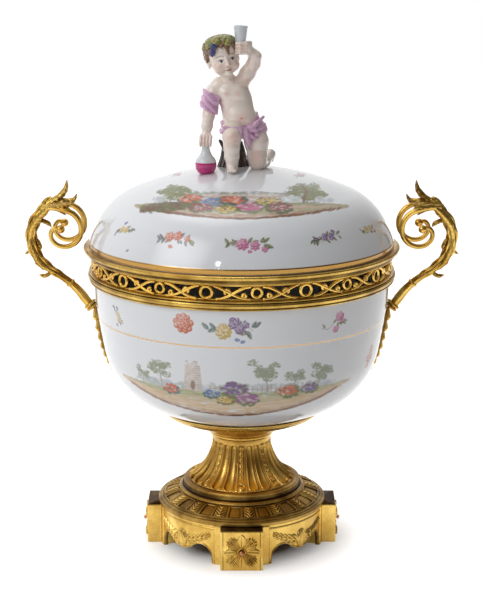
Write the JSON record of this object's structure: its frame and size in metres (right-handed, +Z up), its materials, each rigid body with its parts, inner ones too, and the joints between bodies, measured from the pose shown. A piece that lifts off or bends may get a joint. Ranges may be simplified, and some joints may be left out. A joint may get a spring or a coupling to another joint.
{
  "type": "potpourri vase",
  "caption": "Covered porcelain bowl in gilt bronze mounts, with pierced collar, scroll handles, fluted foot and a kneeling wine-boy finial.",
  "frame": {"origin": "centre of the base on the floor", "axes": "+Z up, -Y towards the front, +X to the viewer's right"},
  "size_m": [0.415, 0.2996, 0.4994],
  "materials": {
    "white_porcelain": "glossy white glaze with painted flowers and landscapes",
    "flesh_enamel": "glossy glaze, tinted flesh",
    "rose_enamel": "glossy glaze, lilac pink",
    "green_enamel": "glossy glaze, leaf green",
    "dark_enamel": "glossy glaze, dark brown",
    "gilt_bronze": "fire gilt, burnished on the high places",
    "copper_pins": "polished copper",
    "iron_fittings": "plain iron",
    "leather_washers": "plain hide"
  },
  "bodies": {
    "vase": {"apron_back_left": "gilt_bronze", "apron_back_right": "gilt_bronze", "apron_front_left": "gilt_bronze", "apron_front_right": "gilt_bronze", "base_plate": "gilt_bronze", "base_step": "gilt_bronze", "bowl": "white_porcelain", "bowl_dish": "gilt_bronze", "bowl_washer": "leather_washers", "cap_washer": "leather_washers", "collar_gallery": "gilt_bronze", "collar_lower_ring": "gilt_bronze", "collar_upper_ring": "gilt_bronze", "foot_back": "gilt_bronze", "foot_front": "gilt_bronze", "foot_left": "gilt_bronze", "foot_right": "gilt_bronze", "handle_left_arm": "gilt_bronze", "handle_left_crest": "gilt_bronze", "handle_left_nut": "iron_fittings", "handle_left_scroll_back": "gilt_bronze", "handle_left_scroll_front": "gilt_bronze", "handle_left_stud": "iron_fittings", "handle_left_tail": "gilt_bronze", "handle_left_washer": "leather_washers", "handle_right_arm": "gilt_bronze", "handle_right_crest": "gilt_bronze", "handle_right_nut": "iron_fittings", "handle_right_scroll_back": "gilt_bronze", "handle_right_scroll_front": "gilt_bronze", "handle_right_stud": "iron_fittings", "handle_right_tail": "gilt_bronze", "handle_right_washer": "leather_washers", "neck_ring": "gilt_bronze", "rod_cap": "gilt_bronze", "rosette_back": "gilt_bronze", "rosette_front": "gilt_bronze", "rosette_left": "gilt_bronze", "rosette_pins": "copper_pins", "rosette_right": "gilt_bronze", "stem": "gilt_bronze", "tie_nut": "iron_fittings", "tie_rod": "iron_fittings", "tie_washer": "iron_fittings"},
    "cover_with_figure": {"beaker": "white_porcelain", "cover": "white_porcelain", "flask": "white_porcelain", "putto_arm_lowered": "flesh_enamel", "putto_arm_raised": "flesh_enamel", "putto_head": "flesh_enamel", "putto_leg_kneeling": "flesh_enamel", "putto_leg_raised": "flesh_enamel", "putto_sash": "rose_enamel", "putto_sleeve": "rose_enamel", "putto_torso": "flesh_enamel", "putto_wreath": "green_enamel", "tree_stump": "dark_enamel"}
  },
  "joints": [
    {"name": "cover_lift", "type": "slide", "parent": "vase", "child": "cover_with_figure", "axis": [0, 0, 1], "range_m": [0, 0.15]}
  ]
}
